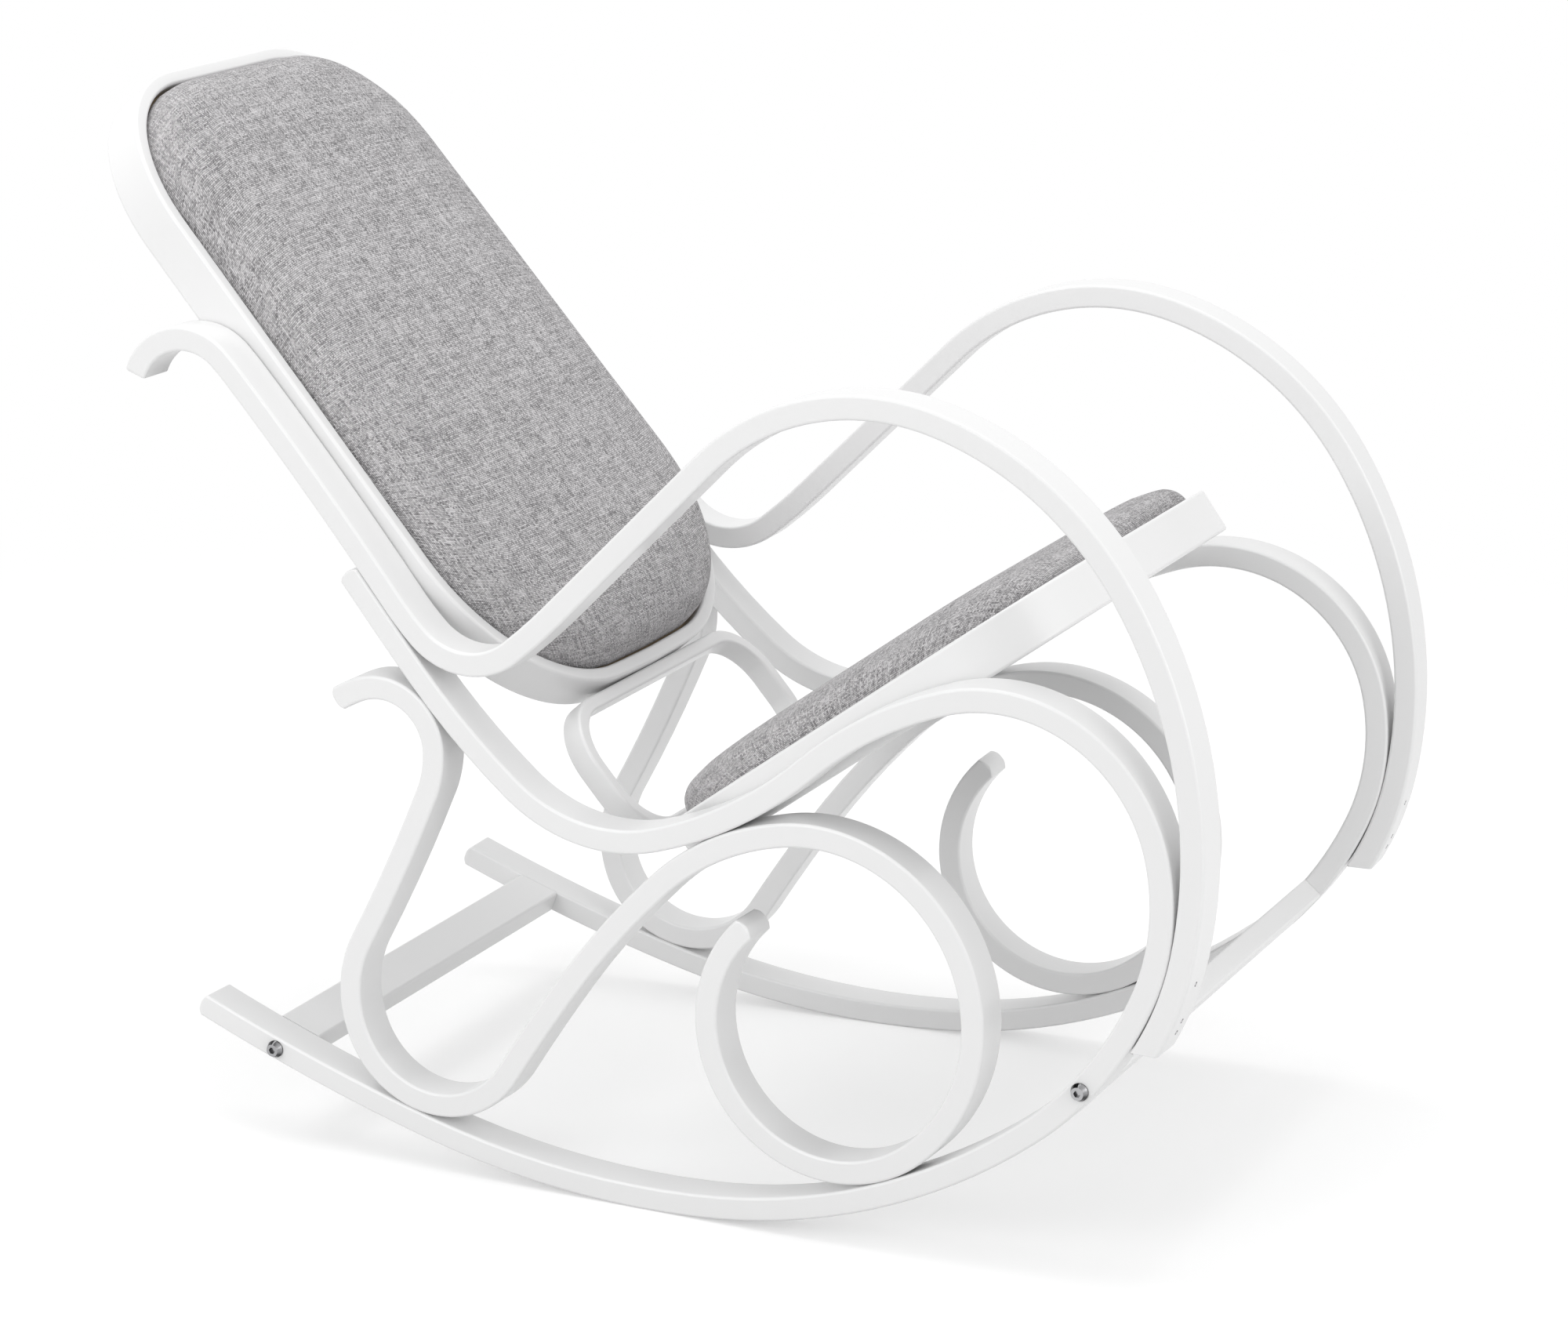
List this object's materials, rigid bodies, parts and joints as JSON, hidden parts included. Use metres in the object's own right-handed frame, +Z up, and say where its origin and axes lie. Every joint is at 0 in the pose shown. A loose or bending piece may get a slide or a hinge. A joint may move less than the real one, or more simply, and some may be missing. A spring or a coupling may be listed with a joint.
{
  "type": "rocking chair",
  "caption": "Bentwood rocking chair with looping side frames and scrolls, and an upholstered back and seat held in rounded hoops joined by a link ring.",
  "frame": {"origin": "middle of the footprint on the floor: the centre of the bounding box in X and Y, at the rockers' lowest points in Z", "axes": "+X towards the front of the chair, +Y towards the sitter's left, +Z up; the XZ plane is the plane of symmetry"},
  "size_m": [0.9894, 0.5414, 0.8291],
  "materials": {
    "lacquer": "white satin lacquer",
    "plywood": "plain",
    "lining": "non-woven cloth",
    "upholstery": "grey melange plain weave",
    "zinc": "bright zinc plated"
  },
  "bodies": {
    "root": {"arm_bow_right": "lacquer", "arm_bow_left": "lacquer", "runner_right": "lacquer", "runner_left": "lacquer", "scroll_right": "lacquer", "scroll_left": "lacquer", "back_hoop": "lacquer", "back_panel": "plywood", "back_lining": "lining", "back_cushion": "upholstery", "seat_hoop": "lacquer", "seat_panel": "plywood", "seat_lining": "lining", "seat_cushion": "upholstery", "link_ring": "lacquer", "rear_stretcher": "lacquer", "front_stretcher": "lacquer", "stretcher_bolts": "zinc", "bolt_washers": "zinc", "barrel_nuts": "zinc", "arm_end_screws": "zinc"}
  },
  "joints": []
}
